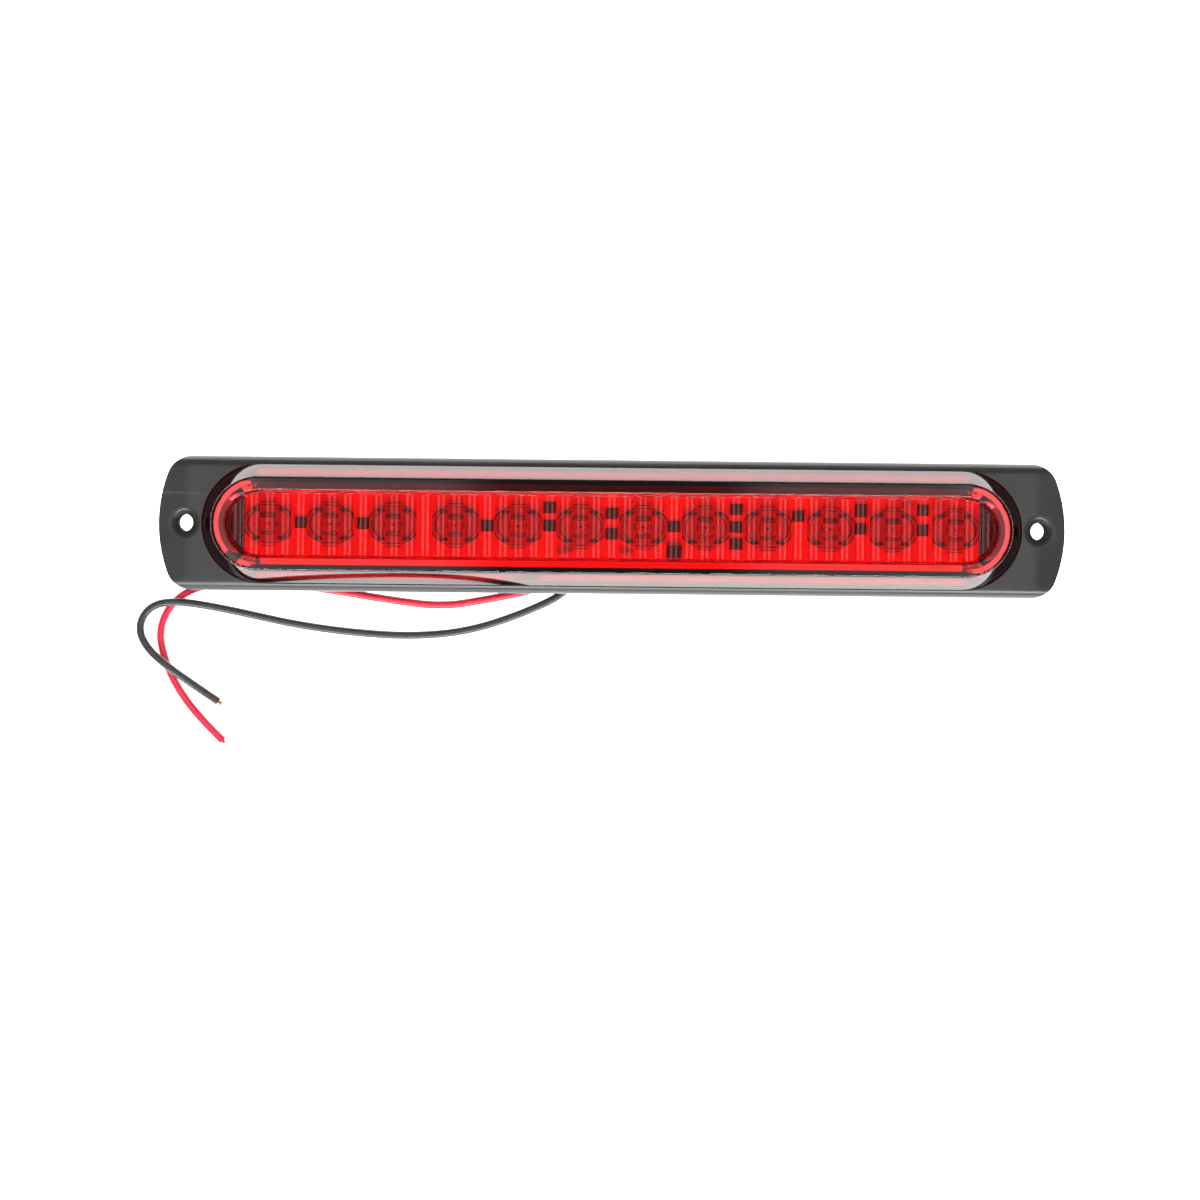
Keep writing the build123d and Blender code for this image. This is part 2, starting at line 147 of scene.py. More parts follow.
def clear_plastic(name, tint, shadow_tint, roughness, ior=1.49):
    """Clear moulded plastic whose shadow lets the lamps through, tinted."""
    material = new_material(name)
    shader = shader_of(material)
    set_inputs(shader, Base_Color=(*tint, 1), Roughness=roughness, IOR=ior, Transmission_Weight=1.0)
    passing = add_node(material, "ShaderNodeBsdfTransparent", Color=(*shadow_tint, 1))
    path = add_node(material, "ShaderNodeLightPath")
    mix = add_node(material, "ShaderNodeMixShader")
    link(material, path.outputs["Is Shadow Ray"], mix.inputs["Fac"])
    link(material, shader.outputs["BSDF"], mix.inputs[1])
    link(material, passing.outputs["BSDF"], mix.inputs[2])
    output = material.node_tree.nodes["Material Output"]
    link(material, mix.outputs["Shader"], output.inputs["Surface"])
    return material


def black_plastic():
    """Satin black moulding: fine eroded grain, soft blotches of gloss and thin rub marks."""
    material = new_material("black_plastic")
    shader = shader_of(material)
    grain = noise(material, 2600, detail=3.0)
    blotch = noise(material, 45, detail=3.0)
    rub = noise(material, 300, detail=6.0, stretch=(0.12, 1.6, 1))
    colour = ramp(material, blotch, [(0.3, (0.020, 0.022, 0.021)), (0.7, (0.027, 0.029, 0.028))])
    marks = ramp(material, rub, [(0.66, grey(0.0)), (0.74, grey(0.035))])
    mix = material.node_tree.nodes.new("ShaderNodeMixRGB")
    mix.blend_type = "ADD"
    mix.inputs["Fac"].default_value = 1.0
    link(material, colour, mix.inputs["Color1"])
    link(material, marks, mix.inputs["Color2"])
    link(material, mix.outputs["Color"], shader.inputs["Base Color"])
    gloss = ramp(material, blotch, [(0.3, grey(0.26)), (0.7, grey(0.36))])
    link(material, gloss, shader.inputs["Roughness"])
    bump(material, grain, 0.35, 0.00002)
    return material


def red_lens():
    return clear_plastic("red_lens", (0.75, 0.013, 0.016), (0.58, 0.02, 0.03), 0.0)


def clear_optic():
    return clear_plastic("clear_optic", (0.97, 0.98, 0.98), (0.93, 0.93, 0.93), 0.02)


def insulation(name, low, high):
    return varied(name, low, high, 900, 0.32, 0.00001, Coat_Weight=0.25, Coat_Roughness=0.2)


def metal(name, low, high, roughness):
    return varied(name, low, high, 1800, roughness, 0.000008, Metallic=1.0)


# ---------------------------------------------------------------- mesh helpers

def add_piece(name, mesh, material_slot, *replaced):
    """Puts a mesh in the scene as a piece of the object that rides on its one body."""
    piece = bpy.data.objects.new(name, mesh)
    scene.collection.objects.link(piece)
    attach(piece, "root")
    if replaced:
        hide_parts(*replaced)
    return piece


def finish_mesh(bm, name, materials, sharp_degrees=30):
    """Turns a bmesh into a smooth-shaded mesh, sharp where faces meet at more than the angle."""
    bmesh.ops.recalc_face_normals(bm, faces=bm.faces)
    mesh = bpy.data.meshes.new(name)
    bm.to_mesh(mesh)
    bm.free()
    for material in materials:
        mesh.materials.append(material)
    for polygon in mesh.polygons:
        polygon.use_smooth = True
    mesh.set_sharp_from_angle(angle=math.radians(sharp_degrees))
    return mesh


def islands(node):
    """The boxes of a CAD node's separate solids, as (lowest, highest) corners."""
    bm = bmesh.new()
    bm.from_mesh(nodes[node].data)
    bmesh.ops.remove_doubles(bm, verts=bm.verts, dist=1e-7)
    left = set(bm.verts)
    boxes = []
    while left:
        stack = [left.pop()]
        found = []
        while stack:
            vertex = stack.pop()
            found.append(vertex.co.copy())
            for edge in vertex.link_edges:
                other = edge.other_vert(vertex)
                if other in left:
                    left.remove(other)
                    stack.append(other)
        low = Vector([min(point[axis] for point in found) for axis in range(3)])
        high = Vector([max(point[axis] for point in found) for axis in range(3)])
        boxes.append((low, high))
    bm.free()
    return sorted(boxes, key=lambda box: (round(box[0].x, 5), box[0].y))


def arc_points(centre, radius, start, end, steps):
    """Points on an arc in (width, height), angles in degrees from +width."""
    points = []
    for step in range(steps + 1):
        angle = math.radians(start + (end - start) * step / steps)
        points.append((centre[0] + radius * math.cos(angle), centre[1] + radius * math.sin(angle)))
    return points


# ---------------------------------------------------------------- lens

LENS_WALL = 2.2 * MM
CROWN_HALF_WIDTH = 12.0 * MM
CROWN_ROUNDING = 0.8 * MM
FLANGE_TOP = 9.5 * MM
CROWN_TOP = 18.0 * MM
RECESS_HALF_LENGTH = 99.4 * MM
RECESS_HALF_WIDTH = 8.55 * MM
RECESS_ROUNDING = 0.6 * MM
RECESS_DRAFT = math.radians(7.0)
RECESS_WALL = 1.7 * MM
WINDOW_TOP = 14.4 * MM
WINDOW_BACK = 12.5 * MM
WINDOW_FILLET = 0.3 * MM
FILLET_STEPS = 6
HOLLOW_TOP = 15.8 * MM
HOLLOW_ROUNDING = 0.3 * MM
BLOCK_STEP = 0.02 * MM
END_BLOCK = (1.3 * MM, 1.0 * MM)
END_CORNER = 0.1 * MM
END_CHAMFER = 1.25 * MM
CHAMFER_FADE = math.radians(22.0)
RIB_PITCH = 4.045 * MM
RIB_HEIGHT = 0.43 * MM
RIB_STEPS = 12
TIP_STEPS = 44
ROUNDING_STEPS = 6
LENS_SHARP_DEGREES = 20


def rib_height(x):
    """Height of the fluted window above its valleys, at x."""
    offset = (x / RIB_PITCH + 0.5) % 1.0 - 0.5
    radius = ((RIB_PITCH / 2)**2 + RIB_HEIGHT**2) / (2 * RIB_HEIGHT)
    return math.sqrt(radius**2 - (offset * RIB_PITCH)**2) - (radius - RIB_HEIGHT)


def ring_places():
    """Places round a quarter of a stadium ring, from its tip to the middle of its side.

    Each is (angle, share): an angle on the end arc, or 90 degrees and a share of the straight side.
    They are dense enough that the window's edge ring follows every flute."""
    width = RECESS_HALF_WIDTH - (CROWN_TOP - WINDOW_TOP) * math.tan(RECESS_DRAFT)
    straight = RECESS_HALF_LENGTH - RECESS_HALF_WIDTH
    tip = [math.radians(45) * step / TIP_STEPS for step in range(TIP_STEPS)]
    side = []
    shares = []
    number = 0
    while number * RIB_PITCH / RIB_STEPS < straight + width * math.cos(tip[-1]):
        x = number * RIB_PITCH / RIB_STEPS
        if x <= straight:
            shares.append(x / straight)
        else:
            side.append(math.acos((x - straight) / width))
        number += 1
    angles = tip + [angle for angle in reversed(side) if angle > tip[-1] * 1.02]
    return [(angle, 1.0) for angle in angles] + [
        (math.radians(90), share) for share in reversed(shares)]


def stadium_ring(places, half_length, half_width):
    """Points of a stadium, anticlockwise from its +X tip, one for each place in each quarter."""
    straight = half_length - half_width
    quarter = []
    for angle, share in places:
        x = straight * share + half_width * math.cos(angle)
        quarter.append((x, half_width * math.sin(angle)))
    half = quarter + [(-x, y) for x, y in reversed(quarter[:-1])]
    return half + [(x, -y) for x, y in reversed(half[1:-1])]


def lens_profile(low, high):
    """The lens in section as rows of (half length, half width, height), from the outside of its
    foot over the crown to the window's edge."""
    foot_width = high.y
    straight = high.x - foot_width
    lean = math.atan2(foot_width - CROWN_HALF_WIDTH, high.z - FLANGE_TOP)
    tangent = CROWN_ROUNDING * math.tan((math.pi / 2 - lean) / 2)
    centre = (CROWN_HALF_WIDTH - tangent, high.z - CROWN_ROUNDING)
    rows = [(foot_width, low.z), (foot_width, FLANGE_TOP)]
    rows += arc_points(centre, CROWN_ROUNDING, math.degrees(lean), 90, ROUNDING_STEPS)
    rows = [(straight + width, width, z) for width, z in rows]
    recess_straight = RECESS_HALF_LENGTH - RECESS_HALF_WIDTH
    draft = math.degrees(RECESS_DRAFT)
    centre = (RECESS_HALF_WIDTH + RECESS_ROUNDING, high.z - RECESS_ROUNDING)
    inner = arc_points(centre, RECESS_ROUNDING, 90, 180 - draft, ROUNDING_STEPS)
    rows += [(recess_straight + width, width, z) for width, z in inner]
    return rows


def window_edge(ring, height):
    """The ring where wall and window meet: each point as high above its valley as height says."""
    return [(x, y, WINDOW_TOP + rib_height(x) + height) for x, y in ring]


def lens_rings(low, high):
    """The lens's outside as rings, from its foot over the crown down to the window."""
    places = ring_places()
    rings = []
    for length, width, z in lens_profile(low, high):
        rings.append([(x, y, z) for x, y in stadium_ring(places, length, width)])
    recess_straight = RECESS_HALF_LENGTH - RECESS_HALF_WIDTH
    depth = high.z - RECESS_ROUNDING - WINDOW_TOP
    wall_foot = RECESS_HALF_WIDTH - depth * math.tan(RECESS_DRAFT)
    for step in range(FILLET_STEPS + 1):
        angle = math.radians(90 * step / FILLET_STEPS)
        width = wall_foot - WINDOW_FILLET * (1 - math.cos(angle))
        height = WINDOW_FILLET * (1 - math.sin(angle))
        ring = stadium_ring(places, recess_straight + width, width)
        rings.append(window_edge(ring, height))
    return places, rings


def hollow_rings(places, low, high):
    """The inside of the lens, from the window's back to the foot.

    At the round ends the hollow's upper corner is cut at 45 degrees, and the cut fades out along
    the straight sides."""
    lean = (high.y - CROWN_HALF_WIDTH) / (high.z - FLANGE_TOP)
    block = RECESS_HALF_WIDTH + RECESS_WALL
    wall_top = high.y - LENS_WALL - (HOLLOW_TOP - FLANGE_TOP) * lean
    straight = high.x - high.y
    middle = (block + wall_top) / 2
    rows = [
        (block - HOLLOW_ROUNDING, WINDOW_BACK), (block, WINDOW_BACK + BLOCK_STEP),
        (block, HOLLOW_TOP), (middle, HOLLOW_TOP), (wall_top, HOLLOW_TOP),
        (high.y - LENS_WALL, FLANGE_TOP), (high.y - LENS_WALL, low.z),
    ]
    chamfered = [
        (block - END_BLOCK[0], WINDOW_BACK),
        (block - END_BLOCK[1], WINDOW_BACK + END_BLOCK[1]),
        (block - END_CORNER, HOLLOW_TOP - END_CORNER),
        (block + END_CORNER, HOLLOW_TOP - END_CORNER),
        (block + END_CHAMFER, HOLLOW_TOP - END_CHAMFER),
        (high.y - LENS_WALL, FLANGE_TOP), (high.y - LENS_WALL, low.z),
    ]
    rings = []
    for (width, z), (end_width, end_z) in zip(rows, chamfered):
        ring = stadium_ring(places, straight + width, width)
        end_ring = stadium_ring(places, straight + end_width, end_width)
        points = []
        for (x, y), (end_x, end_y) in zip(ring, end_ring):
            across = abs(math.atan2(end_y, max(abs(end_x) - straight, 0.0)))
            share = min(1.0, (math.pi / 2 - across) / CHAMFER_FADE)
            points.append((x + (end_x - x) * share, y + (end_y - y) * share,
                           z + (end_z - z) * share))
        rings.append(points)
    return rings


def bridge(bm, first, second):
    count = len(first)
    for index in range(count):
        after = (index + 1) % count
        bm.faces.new((first[index], first[after], second[after], second[index]))


def fill_across(bm, ring):
    """Closes a stadium ring with strips that run straight across it."""
    count = len(ring)
    bm.faces.new((ring[0], ring[1], ring[-1]))
    for index in range(1, count // 2 - 1):
        bm.faces.new((ring[index], ring[index + 1], ring[-index - 1], ring[-index]))
    middle = count // 2
    bm.faces.new((ring[middle - 1], ring[middle], ring[middle + 1]))


def build_lens(material):
    low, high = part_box("lens")
    places, outside = lens_rings(low, high)
    inside = hollow_rings(places, low, high)
    bm = bmesh.new()
    outer = [[bm.verts.new(point) for point in ring] for ring in outside]
    inner = [[bm.verts.new(point) for point in ring] for ring in inside]
    for first, second in zip(outer, outer[1:]):
        bridge(bm, first, second)
    fill_across(bm, outer[-1])
    fill_across(bm, inner[0])
    for first, second in zip(inner, inner[1:]):
        bridge(bm, first, second)
    bridge(bm, inner[-1], outer[0])
    mesh = finish_mesh(bm, "lens_body", [material], LENS_SHARP_DEGREES)
    return add_piece("lens_body", mesh, "red_lens", "lens")


# ---------------------------------------------------------------- leads

LEAD_RADIUS = 1.05 * MM
EXIT_ANGLE = math.radians(235.0)
EXIT_REACH = 0.0055
EXIT_HALF_GAP = 0.00135
EXIT_HEIGHT = 0.0011
RED_STRAIGHT = 0.0100
BLACK_STRAIGHT = 0.0139
EXIT_DIRECTION = Vector((math.cos(EXIT_ANGLE), math.sin(EXIT_ANGLE), 0))
EXIT_ACROSS = Vector((-EXIT_DIRECTION.y, EXIT_DIRECTION.x, 0))
EXIT_CENTRE = EXIT_DIRECTION * EXIT_REACH + Vector((0, 0, EXIT_HEIGHT))
RED_EXIT = EXIT_CENTRE - EXIT_ACROSS * EXIT_HALF_GAP
BLACK_EXIT = EXIT_CENTRE + EXIT_ACROSS * EXIT_HALF_GAP

RED_ROUTE = (
    tuple(RED_EXIT), tuple(RED_EXIT + EXIT_DIRECTION * RED_STRAIGHT), (-0.0200, -0.0168, 0.0011),
    (-0.0320, -0.0193, 0.0011), (-0.0445, -0.0215, 0.0011), (-0.0585, -0.0198, 0.0011),
    (-0.0730, -0.0175, 0.0011), (-0.0880, -0.0154, 0.0011), (-0.1010, -0.0152, 0.0011),
    (-0.1104, -0.0173, 0.0011), (-0.1162, -0.0216, 0.0011), (-0.1190, -0.0282, 0.0011),
    (-0.1179, -0.0350, 0.0011), (-0.1148, -0.0424, 0.0011), (-0.1088, -0.0508, 0.0011),
    (-0.1019, -0.0574, 0.0011),
)
BLACK_ROUTE = (
    tuple(BLACK_EXIT), tuple(BLACK_EXIT + EXIT_DIRECTION * BLACK_STRAIGHT),
    (-0.0230, -0.0230, 0.0011), (-0.0375, -0.0279, 0.0011), (-0.0525, -0.0294, 0.0011),
    (-0.0685, -0.0285, 0.0011), (-0.0835, -0.0265, 0.0011), (-0.0970, -0.0236, 0.0012),
    (-0.1075, -0.0215, 0.0029), (-0.1150, -0.0207, 0.0040), (-0.1200, -0.0216, 0.0040),
    (-0.1232, -0.0248, 0.0035), (-0.1239, -0.0290, 0.0034), (-0.1214, -0.0334, 0.0039),
    (-0.1166, -0.0376, 0.0039), (-0.1100, -0.0425, 0.0019), (-0.1032, -0.0471, 0.0011),
)


def lead_curve(name, route, material):
    curve = bpy.data.curves.new(name, "CURVE")
    curve.dimensions = "3D"
    curve.bevel_depth = LEAD_RADIUS
    curve.bevel_resolution = 6
    curve.resolution_u = 14
    curve.use_fill_caps = True
    spline = curve.splines.new("NURBS")
    spline.points.add(len(route) - 1)
    for point, place in zip(spline.points, route):
        point.co = (*place, 1.0)
    spline.order_u = 3
    spline.use_endpoint_u = True
    curve.materials.append(material)
    return curve


STRANDS = 7
STRAND_RADIUS = 0.16 * MM
STRAND_RING = 0.34 * MM
STRAND_ROOT = 0.3 * MM
STRAND_STEPS = 6
STRAND_CORNERS = 8
STRAND_TWIST = 700          # radians a metre
STRAND_SPREAD = 0.25
STRAND_TIP = 0.6
CORE_HIDDEN = 1.0 * MM
CORE_SHORTEST = 0.6 * MM


def strand_bundle(name, start, direction, length, material):
    """Seven twisted copper strands that stand out of a lead's cut end."""
    random.seed(7)
    side = direction.cross(Vector((0, 0, 1))).normalized()
    up = side.cross(direction).normalized()
    bm = bmesh.new()
    for strand in range(STRANDS):
        offset = 0.0 if strand == 0 else STRAND_RING
        phase = math.radians(60 * strand)
        reach = length * (1.0 if strand == 0 else random.uniform(0.75, 1.0))
        rows = []
        for step in range(STRAND_STEPS + 1):
            along = -STRAND_ROOT + (reach + STRAND_ROOT) * step / STRAND_STEPS
            angle = phase + STRAND_TWIST * along
            spread = offset * (1 + STRAND_SPREAD * step / STRAND_STEPS)
            centre = (start + direction * along + side * math.cos(angle) * spread
                      + up * math.sin(angle) * spread)
            row = []
            radius = STRAND_RADIUS * (STRAND_TIP if step == STRAND_STEPS else 1.0)
            for corner in range(STRAND_CORNERS):
                turn = 2 * math.pi * corner / STRAND_CORNERS
                outwards = side * math.cos(turn) + up * math.sin(turn)
                row.append(bm.verts.new(centre + outwards * radius))
            rows.append(row)
        for first, second in zip(rows, rows[1:]):
            bridge(bm, first, second)
        bm.faces.new(rows[0])
        bm.faces.new(rows[-1])
    return finish_mesh(bm, name, [material], 60)


def add_lead(name, route, material_slot, insulation_material, copper):
    curve = lead_curve(name + "_wire", route, insulation_material)
    lead = add_piece(name + "_wire", curve, material_slot, name)
    end = Vector(route[-1])
    direction = (end - Vector(route[-2])).normalized()
    core_low, core_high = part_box(name + "_core")
    bare = max((core_high - core_low).length - CORE_HIDDEN, CORE_SHORTEST)
    core_mesh = strand_bundle(name + "_strands", end, direction, bare, copper)
    core = add_piece(name + "_strands", core_mesh, "copper", name + "_core")


# ---------------------------------------------------------------- LEDs and chips

def add_box(bm, low, high, slot_index=0, rounding=0.0):
    """A box in the mesh, with its edges rounded a little."""
    centre = (low + high) / 2
    size = high - low
    made = bmesh.ops.create_cube(bm, size=1.0)
    verts = made["verts"]
    bmesh.ops.scale(bm, vec=size, verts=verts)
    bmesh.ops.translate(bm, vec=centre, verts=verts)
    faces = {face for vert in verts for face in vert.link_faces}
    if rounding:
        edges = {edge for vert in verts for edge in vert.link_edges}
        made = bmesh.ops.bevel(bm, geom=list(edges), offset=rounding, segments=2, affect="EDGES",
                               profile=0.5)
        faces = {f for f in faces if f.is_valid} | set(made["faces"])
    for face in faces:
        face.material_index = slot_index


def add_disc(bm, centre, radius, height, slot_index, segments=24, top_radius=None):
    """A short upright cylinder or cone in the mesh, standing on centre."""
    made = bmesh.ops.create_cone(
        bm, cap_ends=True, segments=segments, radius1=radius,
        radius2=radius if top_radius is None else top_radius, depth=height,
        matrix=Matrix.Translation(centre + Vector((0, 0, height / 2))))
    for vert in made["verts"]:
        for face in vert.link_faces:
            face.material_index = slot_index


def build_led(number, materials):
    """White package with silver end pads, a resin-filled cup and the chip under the resin."""
    node = f"led_{number:02d}"
    low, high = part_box(node)
    bm = bmesh.new()
    pad = 0.35 * MM
    body_low = low + Vector((pad / 2, 0, 0.05 * MM))
    body_high = high - Vector((pad / 2, 0, 0))
    add_box(bm, body_low, body_high, 0, 0.08 * MM)
    for x in (low.x, high.x - pad * 2):
        for y in (low.y + 0.3 * MM, high.y - 1.1 * MM):
            corner = Vector((x, y, low.z))
            add_box(bm, corner, corner + Vector((pad * 2, 0.8 * MM, 0.9 * MM)), 2, 0.04 * MM)
    top = Vector(((low.x + high.x) / 2, (low.y + high.y) / 2, high.z))
    add_disc(bm, top - Vector((0, 0, 0.02 * MM)), 1.25 * MM, 0.06 * MM, 1, 32)
    add_disc(bm, top + Vector((0, 0, 0.03 * MM)), 0.35 * MM, 0.03 * MM, 3, 4)
    mesh = finish_mesh(bm, node + "_package", materials, 40)
    return add_piece(node + "_package", mesh, "led_package", node)


def build_chips(node, name, material_slot, end_share, materials):
    """Small chips: a moulded body between two bright end caps along Y."""
    bm = bmesh.new()
    for low, high in islands(node):
        cap = (high.y - low.y) * end_share
        body_low = Vector((low.x + 0.03 * MM, low.y + cap * 0.8, low.z + 0.03 * MM))
        body_high = Vector((high.x - 0.03 * MM, high.y - cap * 0.8, high.z))
        add_box(bm, body_low, body_high, 0, 0.05 * MM)
        add_box(bm, low, Vector((high.x, low.y + cap, high.z - 0.03 * MM)), 1, 0.05 * MM)
        add_box(bm, Vector((low.x, high.y - cap, low.z)), high - Vector((0, 0, 0.03 * MM)), 1,
                0.05 * MM)
    mesh = finish_mesh(bm, name, materials, 40)
    return add_piece(name, mesh, material_slot, node)


# ---------------------------------------------------------------- optics

OPTIC_SEGMENTS = 96
OPTIC_RADIUS = 5.9 * MM
OPTIC_RIM_INNER = 4.8 * MM
OPTIC_BARREL = 2.75 * MM
OPTIC_BACK = 0.9 * MM
OPTIC_WEB = 1.8 * MM
OPTIC_RIM = 2.4 * MM
OPTIC_BARREL_TOP = 3.0 * MM
OPTIC_DOME = 3.7 * MM
OPTIC_POCKET = 2.4 * MM
OPTIC_POCKET_TOP = 2.2 * MM
OPTIC_FOOT_REACH = 5.25 * MM
OPTIC_FOOT_RADIUS = 0.55 * MM
OPTIC_EDGE = 0.26 * MM
POCKET_DRAFT = 0.15 * MM
FOOT_SEGMENTS = 20
DOME_STEPS = 8
# slot 1 of an optic is grey painted shade on its steep edges and feet
CLEAR, PAINTED_SHADE = 0, 1


def dome_height(radius):
    """Height of the optic's domed top above the board at a radius."""
    rise = OPTIC_DOME - OPTIC_BARREL_TOP
    sphere = (OPTIC_BARREL**2 + rise**2) / (2 * rise)
    return OPTIC_DOME - sphere + math.sqrt(sphere**2 - radius**2)


def add_ring_solid(bm, centre, rows):
    """A revolved closed skin; each row is (radius, height, slot of the band that follows it)."""
    rings = []
    for radius, height, _ in rows:
        if radius < 1e-6:
            rings.append([bm.verts.new(centre + Vector((0, 0, height)))])
            continue
        ring = []
        for step in range(OPTIC_SEGMENTS):
            angle = 2 * math.pi * step / OPTIC_SEGMENTS
            ring.append(bm.verts.new(centre + Vector(
                (radius * math.cos(angle), radius * math.sin(angle), height))))
        rings.append(ring)
    for (first, second), (_, _, slot_index) in zip(zip(rings, rings[1:]), rows):
        for step in range(OPTIC_SEGMENTS):
            after = (step + 1) % OPTIC_SEGMENTS
            if len(first) == 1:
                face = bm.faces.new((first[0], second[step], second[after]))
            elif len(second) == 1:
                face = bm.faces.new((first[step], first[after], second[0]))
            else:
                face = bm.faces.new((first[step], first[after], second[after], second[step]))
            face.material_index = slot_index


def build_optic(number, materials):
    """Round clear optic: raised rim, flat web, domed barrel, pocket over the LED, four feet.

    The rims', the barrel's and the pocket's drafted edges and the four feet get a grey material:
    painted shade for the dark lines that steep clear walls show."""
    node = f"optic_{number:02d}"
    low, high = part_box(node)
    centre = Vector(((low.x + high.x) / 2, (low.y + high.y) / 2, high.z - OPTIC_DOME))
    edge = OPTIC_EDGE
    rows = [(0.0, OPTIC_POCKET_TOP, CLEAR), (OPTIC_POCKET - POCKET_DRAFT, OPTIC_POCKET_TOP, PAINTED_SHADE),
            (OPTIC_POCKET, OPTIC_BACK, CLEAR), (OPTIC_RADIUS - edge / 2, OPTIC_BACK, PAINTED_SHADE),
            (OPTIC_RADIUS, OPTIC_BACK + edge, PAINTED_SHADE), (OPTIC_RADIUS, OPTIC_RIM - edge, PAINTED_SHADE),
            (OPTIC_RADIUS - edge, OPTIC_RIM, CLEAR), (OPTIC_RIM_INNER + edge, OPTIC_RIM, PAINTED_SHADE),
            (OPTIC_RIM_INNER, OPTIC_WEB, CLEAR), (OPTIC_BARREL + edge, OPTIC_WEB, PAINTED_SHADE),
            (OPTIC_BARREL, OPTIC_WEB + 2 * edge, CLEAR), (OPTIC_BARREL, OPTIC_BARREL_TOP, PAINTED_SHADE)]
    for step in range(1, DOME_STEPS + 1):
        radius = OPTIC_BARREL * (1 - step / DOME_STEPS)
        rows.append((radius, dome_height(radius), CLEAR))
    bm = bmesh.new()
    add_ring_solid(bm, centre, rows)
    bmesh.ops.remove_doubles(bm, verts=bm.verts, dist=1e-7)
    for corner in range(4):
        angle = math.radians(45 + 90 * corner)
        place = centre + Vector((OPTIC_FOOT_REACH * math.cos(angle),
                                 OPTIC_FOOT_REACH * math.sin(angle), 0))
        add_disc(bm, place, OPTIC_FOOT_RADIUS, OPTIC_BACK, PAINTED_SHADE, FOOT_SEGMENTS)
    mesh = finish_mesh(bm, node + "_lens", materials, 35)
    return add_piece(node + "_lens", mesh, "clear_optic", node)


# ---------------------------------------------------------------- base

HOLE_TO_END = 6.55 * MM
HOLE_RADIUS = 2.3 * MM
BORE_MARGIN = 0.02 * MM


def build_base(materials):
    """The moulded base, with the screw holes' bores given a darker, barely reflecting material as
    painted shade.
    """
    mesh = nodes["base_housing"].data.copy()
    mesh.materials.clear()
    for material in materials:
        mesh.materials.append(material)
    low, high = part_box("base_housing")
    hole_x = high.x - HOLE_TO_END
    for polygon in mesh.polygons:
        centre = polygon.center
        reach = math.hypot(abs(centre.x) - hole_x, centre.y)
        # faces inside the screw holes take slot 1, the painted shade
        polygon.material_index = 1 if reach < HOLE_RADIUS + BORE_MARGIN else 0
    return add_piece("base_body", mesh, "black_plastic", "base_housing")


# ---------------------------------------------------------------- stage and light

FLOOR_SIZE = 3.0
FLOOR_GLOW = 1.9
CEILING_SIZE = 0.5
CEILING_HEIGHT = 0.75
CEILING_GLOW = 2.4
CEILING_STOPS = [
    (0.0, grey(0.08)), (0.06, grey(0.10)), (0.09, grey(0.45)), (0.14, grey(0.50)),
    (0.18, grey(0.55)), (0.205, grey(0.95)), (0.245, grey(0.95)), (0.275, grey(0.12)),
    (0.5, grey(0.05)),
]
MIDDLE = (0, 0, 0)
KEY = ((0, -0.90, 0.50), MIDDLE, (1.2, 0.22), 14)
TOP = ((0, 0, 1.3), MIDDLE, (1.6, 1.6), 22)
LOW_FRONT = ((0, -0.9, 0.16), (0, 0, 0.01), (3.2, 0.3), 5)
EDGE = ((0, -0.60, 1.00), MIDDLE, (1.4, 0.2), 35)
SURROUND = 0.25


def stage_object(name, bm, material):
    thing = bpy.data.objects.new(name, finish_mesh(bm, name, [material]))
    scene.collection.objects.link(thing)
    return thing


def add_floor():
    bm = bmesh.new()
    bmesh.ops.create_grid(bm, x_segments=1, y_segments=1, size=FLOOR_SIZE)
    material = new_material("floor")
    set_inputs(shader_of(material), Base_Color=(0.86, 0.86, 0.86, 1), Roughness=0.7,
               Emission_Color=(1, 1, 1, 1), Emission_Strength=FLOOR_GLOW)
    stage_object("floor", bm, material)


def add_ceiling():
    """A wide soft panel overhead, dark in the middle where the camera stands."""
    bm = bmesh.new()
    bmesh.ops.create_grid(bm, x_segments=1, y_segments=1, size=CEILING_SIZE)
    material = new_material("ceiling")
    place = add_node(material, "ShaderNodeTexCoord")
    split = add_node(material, "ShaderNodeSeparateXYZ")
    link(material, place.outputs["Object"], split.inputs["Vector"])
    side = add_node(material, "ShaderNodeMath")
    side.operation = "ABSOLUTE"
    link(material, split.outputs["X"], side.inputs[0])
    glow = ramp(material, side.outputs["Value"], CEILING_STOPS)
    emission = add_node(material, "ShaderNodeEmission")
    link(material, glow, emission.inputs["Color"])
    emission.inputs["Strength"].default_value = CEILING_GLOW
    output = material.node_tree.nodes["Material Output"]
    link(material, emission.outputs["Emission"], output.inputs["Surface"])
    ceiling = stage_object("ceiling", bm, material)
    ceiling.location = (0, 0, CEILING_HEIGHT)
    ceiling.rotation_euler = (math.pi, 0, 0)
    ceiling.visible_camera = False
    ceiling.visible_shadow = False
    ceiling.visible_diffuse = False


def area_light(name, place, target, size, power):
    data = bpy.data.lights.new(name, "AREA")
    data.shape = "RECTANGLE"
    data.size, data.size_y = size
    data.energy = power
    light = bpy.data.objects.new(name, data)
    light.location = place
    direction = Vector(target) - Vector(place)
    light.rotation_euler = direction.to_track_quat("-Z", "Y").to_euler()
    scene.collection.objects.link(light)
    light.visible_camera = False
    return light


def add_lights():
    """A key light and a top light on everything, and two that only the lens mirrors."""
    area_light("key", *KEY)
    area_light("top", *TOP).visible_glossy = False
    low_front = area_light("low_front", *LOW_FRONT)
    edge = area_light("edge", *EDGE)
    lens_only = bpy.data.collections.new("lens_only")
    lens_only.objects.link(bpy.data.objects["lens_body"])
    for light in (low_front, edge):
        light.visible_diffuse = False
        light.light_linking.receiver_collection = lens_only
    world = bpy.data.worlds.new("studio")
    world.use_nodes = True
    background = world.node_tree.nodes["Background"]
    background.inputs["Color"].default_value = (1, 1, 1, 1)
    background.inputs["Strength"].default_value = SURROUND
    scene.world = world


def give_material(material, *names):
    """Puts a material on CAD nodes that stay."""
    for name in names:
        data = nodes[name].data
        data.materials.clear()
        data.materials.append(material)


# ---------------------------------------------------------------- the object

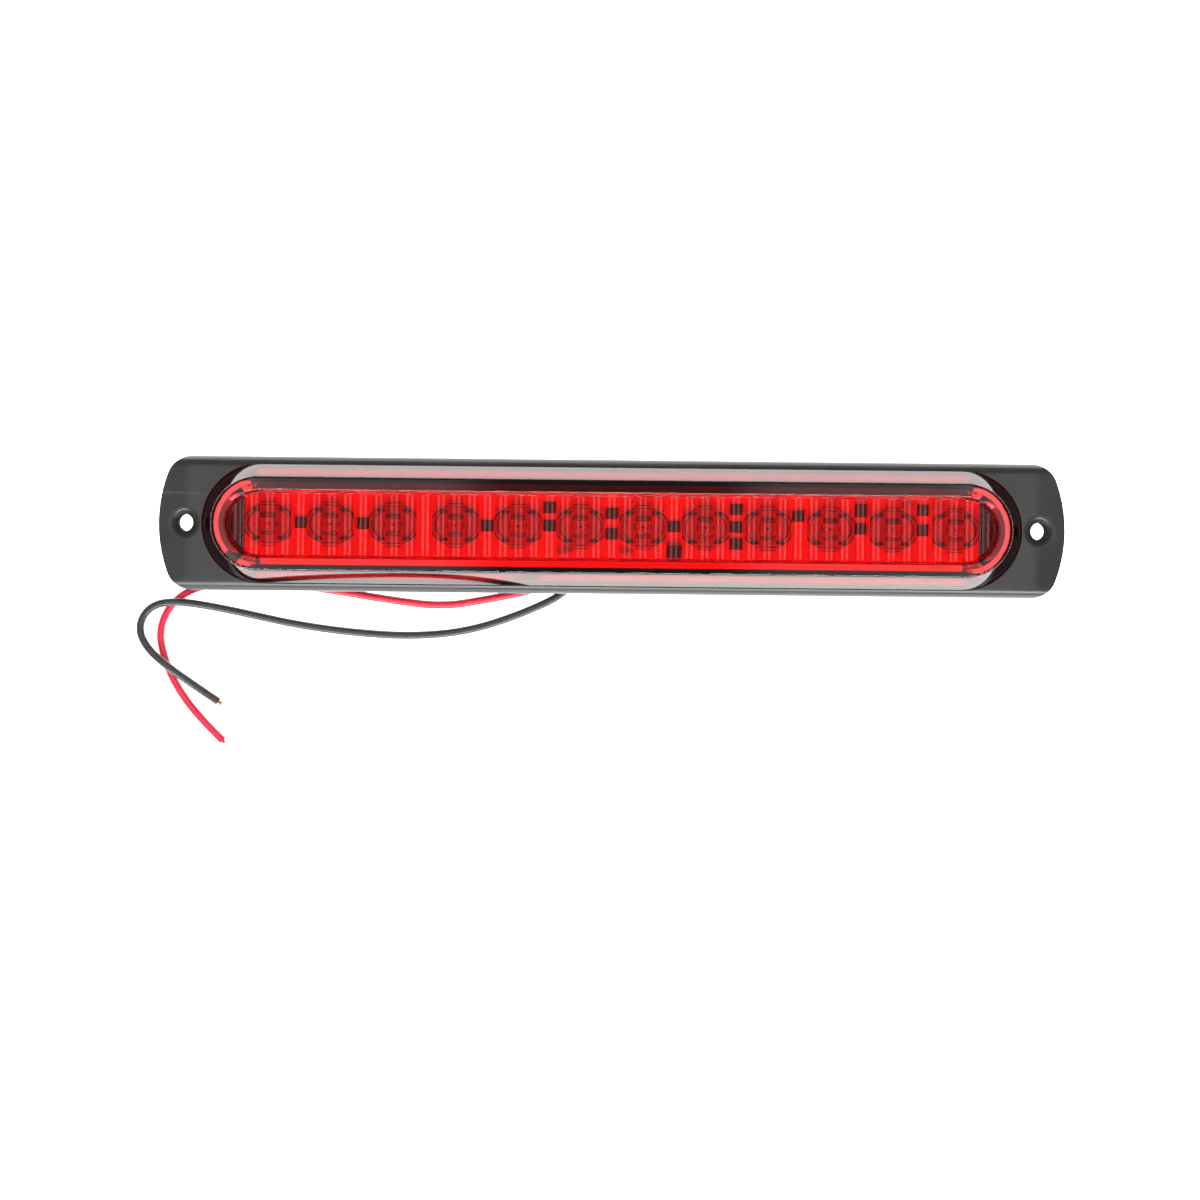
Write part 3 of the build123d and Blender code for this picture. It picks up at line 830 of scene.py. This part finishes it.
add_camera()
copper = metal("copper", (0.62, 0.26, 0.12), (0.80, 0.40, 0.20), 0.35)
red_pvc = insulation("red_insulation", (0.52, 0.010, 0.035), (0.60, 0.016, 0.048))
black_pvc = insulation("black_insulation", (0.020, 0.022, 0.023), (0.030, 0.032, 0.033))
add_lead("red_lead", RED_ROUTE, "red_insulation", red_pvc, copper)
add_lead("black_lead", BLACK_ROUTE, "black_insulation", black_pvc, copper)

# darker, barely reflecting black inside the screw holes: painted shade in the bores
bore_painted_shade = varied("bore_painted_shade", grey(0.006), grey(0.010), 900, 0.9, 0.00003, Specular_IOR_Level=0.1)
build_base([black_plastic(), bore_painted_shade])
build_lens(red_lens())
# grey painted shade for the dark lines at the optics' steep edges and feet
optic_shade_paint = varied("optic_painted_shade", (0.10, 0.10, 0.10), (0.16, 0.16, 0.16), 900, 0.35, 0.00001)
optic_materials = [clear_optic(), optic_shade_paint]
for number in range(1, 13):
    build_optic(number, optic_materials)
board = varied("board", (0.62, 0.63, 0.61), (0.70, 0.71, 0.69), 700, 0.35, 0.00001)
give_material(board, "circuit_board")
package = varied("led_package", (0.56, 0.54, 0.50), (0.62, 0.60, 0.56), 900, 0.4, 0.00001)
resin = varied("led_resin", (0.46, 0.26, 0.05), (0.54, 0.32, 0.08), 900, 0.15, 0.00001)
silver = varied("silver_pads", (0.62, 0.62, 0.60), (0.76, 0.76, 0.74), 1800, 0.45, 0.000008,
                Metallic=0.3)
chip_black = varied("chip_black", (0.015, 0.015, 0.016), (0.030, 0.030, 0.032), 1500, 0.45, 0.00001)
chip_tan = varied("chip_tan", (0.33, 0.22, 0.13), (0.42, 0.30, 0.19), 1500, 0.45, 0.00001)
for number in range(1, 13):
    build_led(number, [package, resin, silver, chip_black])
build_chips("resistors", "resistor_chips", "chip_black", 0.24, [chip_black, silver])
build_chips("capacitors", "capacitor_chips", "chip_tan", 0.2, [chip_tan, silver])
build_chips("reverse_diode", "diode_chip", "chip_black", 0.14, [chip_black, silver])
build_chips("surge_suppressor", "suppressor_chip", "chip_black", 0.14, [chip_black, silver])
give_material(metal("solder", (0.60, 0.60, 0.60), (0.76, 0.76, 0.76), 0.3), "solder_joints")
give_material(red_pvc, "inner_red_lead")
give_material(black_pvc, "inner_black_lead")
sealant = varied("sealant", (0.02, 0.02, 0.02), (0.035, 0.035, 0.035), 800, 0.5, 0.00004)
give_material(sealant, "lens_sealant")
rubber = varied("gland_rubber", (0.02, 0.02, 0.02), (0.03, 0.03, 0.03), 1200, 0.6, 0.00002)
give_material(rubber, "wire_gland")
foam = varied("foam", (0.05, 0.05, 0.05), (0.09, 0.09, 0.09), 2500, 0.85, 0.0001)
give_material(foam, "mounting_pad_left", "mounting_pad_right")

add_floor()
add_ceiling()
add_lights()
scene.view_settings.view_transform = "Standard"
